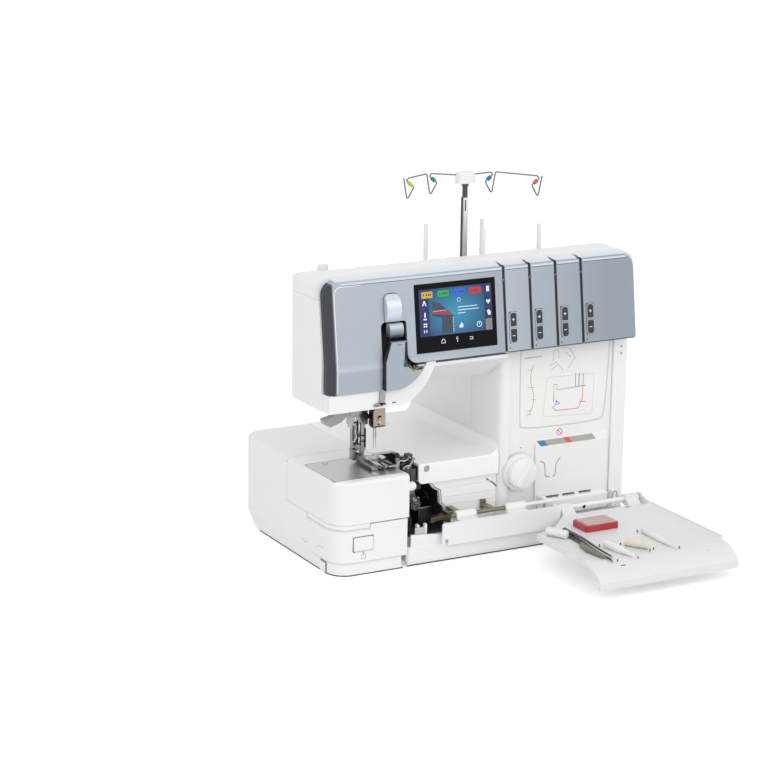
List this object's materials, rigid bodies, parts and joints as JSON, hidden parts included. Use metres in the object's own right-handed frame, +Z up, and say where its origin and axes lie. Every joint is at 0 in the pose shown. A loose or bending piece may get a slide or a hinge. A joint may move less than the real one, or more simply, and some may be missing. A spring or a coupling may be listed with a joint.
{
  "type": "serger overlock machine",
  "caption": "free-standing overlock sewing machine with a slide-on table, touch screen, thread stand and an open tilting looper cover that holds small tools",
  "frame": {"origin": "bottom centre of the bounding box at rest, on the floor the rubber feet stand on, looper cover open", "axes": "+X to the right end with the handwheel, +Y to the back, +Z up; the operator stands on the -Y side"},
  "size_m": [0.456, 0.464, 0.4423],
  "materials": {
    "white_plastic": "satin",
    "fascia_metallic": "satin",
    "black_gloss": "gloss",
    "charcoal_plastic": "matte",
    "screen_glass": "gloss",
    "bright_steel": "polished",
    "brushed_steel": "brushed",
    "cast_frame": "rough",
    "grey_plastic": "matte",
    "dark_rubber": "matte",
    "red_plastic": "gloss",
    "tan_metal": "satin"
  },
  "bodies": {
    "machine": {"base_pan": "white_plastic", "rubber_feet": "dark_rubber", "frame_casting": "cast_frame", "bed_cover": "white_plastic", "free_arm_nose": "white_plastic", "stitch_plate": "brushed_steel", "plate_screws": "bright_steel", "column_housing": "white_plastic", "column_front_panel": "white_plastic", "rear_cover": "white_plastic", "arm_housing": "white_plastic", "arm_top_cover": "white_plastic", "head_fascia": "fascia_metallic", "tension_panels": "fascia_metallic", "groove_liners": "black_gloss", "touch_screen": "screen_glass", "take_up_cover": "fascia_metallic", "looper_chamber": "charcoal_plastic", "lower_knife": "brushed_steel", "bar_bushes": "brushed_steel", "hinge_rod": "brushed_steel", "motor": "grey_plastic", "drive_belt": "dark_rubber", "spool_tray": "white_plastic", "pole_outer_tube": "bright_steel", "spool_pins": "white_plastic", "power_inlet": "charcoal_plastic"},
    "table": {"slide_on_table": "white_plastic"},
    "table_button": {"table_release_button": "white_plastic"},
    "tension_plus_1_key": {"tension_plus_1": "charcoal_plastic"},
    "tension_minus_1_key": {"tension_minus_1": "charcoal_plastic"},
    "tension_plus_2_key": {"tension_plus_2": "charcoal_plastic"},
    "tension_minus_2_key": {"tension_minus_2": "charcoal_plastic"},
    "tension_plus_3_key": {"tension_plus_3": "charcoal_plastic"},
    "tension_minus_3_key": {"tension_minus_3": "charcoal_plastic"},
    "tension_plus_4_key": {"tension_plus_4": "charcoal_plastic"},
    "tension_minus_4_key": {"tension_minus_4": "charcoal_plastic"},
    "needle": {"needle_bar": "bright_steel", "needle_clamp": "tan_metal"},
    "take_up": {"take_up_lever": "brushed_steel"},
    "upper_looper_arm": {"upper_looper": "brushed_steel"},
    "lower_looper_arm": {"lower_looper": "brushed_steel"},
    "moving_knife": {"upper_knife": "brushed_steel"},
    "feed": {"feed_dogs": "brushed_steel"},
    "presser": {"presser_bar": "brushed_steel"},
    "foot": {"presser_foot": "brushed_steel"},
    "lifter": {"foot_lifter": "grey_plastic"},
    "shaft": {"main_shaft": "bright_steel", "handwheel": "white_plastic"},
    "motor_rotor": {"motor_pulley": "grey_plastic"},
    "carriage": {"cover_carriage": "white_plastic"},
    "cover": {"looper_cover": "white_plastic", "needle_case": "red_plastic", "hand_tools": "grey_plastic"},
    "dial": {"threading_dial": "white_plastic"},
    "pole": {"pole_inner_tube": "bright_steel"},
    "guide": {"guide_head": "white_plastic", "guide_wires": "bright_steel"},
    "switch": {"power_switch": "charcoal_plastic"},
    "handle": {"carry_handle": "white_plastic"}
  },
  "joints": [
    {"name": "table_slide", "type": "slide", "parent": "machine", "child": "table", "axis": [-1, 0, 0], "range_m": [0, 0.12]},
    {"name": "table_button_press", "type": "slide", "parent": "table", "child": "table_button", "axis": [0, 1, 0], "range_m": [0, 0.002], "stiffness_N_per_m": 900},
    {"name": "tension_plus_1_press", "type": "slide", "parent": "machine", "child": "tension_plus_1_key", "axis": [0, 0.9909, -0.1347], "range_m": [0, 0.0008], "stiffness_N_per_m": 900},
    {"name": "tension_minus_1_press", "type": "slide", "parent": "machine", "child": "tension_minus_1_key", "axis": [0, 0.9909, -0.1347], "range_m": [0, 0.0008], "stiffness_N_per_m": 900},
    {"name": "tension_plus_2_press", "type": "slide", "parent": "machine", "child": "tension_plus_2_key", "axis": [0, 0.9909, -0.1347], "range_m": [0, 0.0008], "stiffness_N_per_m": 900},
    {"name": "tension_minus_2_press", "type": "slide", "parent": "machine", "child": "tension_minus_2_key", "axis": [0, 0.9909, -0.1347], "range_m": [0, 0.0008], "stiffness_N_per_m": 900},
    {"name": "tension_plus_3_press", "type": "slide", "parent": "machine", "child": "tension_plus_3_key", "axis": [0, 0.9909, -0.1347], "range_m": [0, 0.0008], "stiffness_N_per_m": 900},
    {"name": "tension_minus_3_press", "type": "slide", "parent": "machine", "child": "tension_minus_3_key", "axis": [0, 0.9909, -0.1347], "range_m": [0, 0.0008], "stiffness_N_per_m": 900},
    {"name": "tension_plus_4_press", "type": "slide", "parent": "machine", "child": "tension_plus_4_key", "axis": [0, 0.9909, -0.1347], "range_m": [0, 0.0008], "stiffness_N_per_m": 900},
    {"name": "tension_minus_4_press", "type": "slide", "parent": "machine", "child": "tension_minus_4_key", "axis": [0, 0.9909, -0.1347], "range_m": [0, 0.0008], "stiffness_N_per_m": 900},
    {"name": "needle_stroke", "type": "slide", "parent": "machine", "child": "needle", "axis": [0, 0, -1], "range_m": [0, 0.025]},
    {"name": "take_up_stroke", "type": "slide", "parent": "machine", "child": "take_up", "axis": [0, 0, -1], "range_m": [0, 0.02]},
    {"name": "upper_looper_swing", "type": "hinge", "parent": "machine", "child": "upper_looper_arm", "pos_m": [-0.083, 0.058, 0.058], "axis": [0, -1, 0], "range_deg": [0, 10]},
    {"name": "lower_looper_swing", "type": "hinge", "parent": "machine", "child": "lower_looper_arm", "pos_m": [-0.097, 0.064, 0.052], "axis": [0, 1, 0], "range_deg": [0, 12]},
    {"name": "knife_stroke", "type": "slide", "parent": "machine", "child": "moving_knife", "axis": [0, 0, -1], "range_m": [0, 0.008]},
    {"name": "feed_stroke", "type": "slide", "parent": "machine", "child": "feed", "axis": [0, 1, 0], "range_m": [0, 0.002]},
    {"name": "foot_lift", "type": "hinge", "parent": "machine", "child": "lifter", "pos_m": [-0.179, 0.034, 0.191], "axis": [0, 1, 0], "range_deg": [0, 22]},
    {"name": "presser_lift", "type": "slide", "parent": "machine", "child": "presser", "axis": [0, 0, 1], "range_m": [0, 0.006]},
    {"name": "foot_toe_lift", "type": "hinge", "parent": "presser", "child": "foot", "pos_m": [-0.1545, 0.049, 0.125], "axis": [-1, 0, 0], "range_deg": [0, 12], "stiffness_Nm_per_rad": 0.3},
    {"name": "shaft_spin", "type": "hinge", "parent": "machine", "child": "shaft", "pos_m": [0.071, 0.094, 0.08], "axis": [1, 0, 0], "continuous": true},
    {"name": "motor_spin", "type": "hinge", "parent": "machine", "child": "motor_rotor", "pos_m": [0.141, 0.164, 0.075], "axis": [1, 0, 0], "continuous": true},
    {"name": "cover_slide", "type": "slide", "parent": "machine", "child": "carriage", "axis": [-1, 0, 0], "range_m": [0, 0.007]},
    {"name": "cover_tilt", "type": "hinge", "parent": "carriage", "child": "cover", "pos_m": [0.151, -0.022, 0.043], "axis": [-1, 0, 0], "range_deg": [0, 90]},
    {"name": "dial_turn", "type": "hinge", "parent": "machine", "child": "dial", "pos_m": [0.048, 0.002, 0.0905], "axis": [0, 1, 0], "range_deg": [0, 90]},
    {"name": "pole_extend", "type": "slide", "parent": "machine", "child": "pole", "axis": [0, 0, 1], "range_m": [-0.012, 0.06]},
    {"name": "guide_swivel", "type": "hinge", "parent": "pole", "child": "guide", "pos_m": [0.051, 0.154, 0.435], "axis": [0, 0, 1], "range_deg": [-90, 90]},
    {"name": "switch_rock", "type": "hinge", "parent": "machine", "child": "switch", "pos_m": [0.2005, 0.19, 0.094], "axis": [0, 1, 0], "range_deg": [0, 10]},
    {"name": "handle_raise", "type": "hinge", "parent": "machine", "child": "handle", "pos_m": [-0.107, 0.078, 0.346], "axis": [1, 0, 0], "range_deg": [0, 95]}
  ],
  "couplings": [
    {"joint": "take_up_stroke", "follows": "needle_stroke", "ratio": 0.8},
    {"joint": "upper_looper_swing", "follows": "needle_stroke", "rad_per_m": 6.9743},
    {"joint": "lower_looper_swing", "follows": "needle_stroke", "rad_per_m": 8.3692},
    {"joint": "knife_stroke", "follows": "needle_stroke", "ratio": 0.32},
    {"joint": "feed_stroke", "follows": "needle_stroke", "ratio": 0.08},
    {"joint": "foot_lift", "follows": "presser_lift", "rad_per_m": 63.931},
    {"joint": "motor_spin", "follows": "shaft_spin", "ratio": 3}
  ]
}
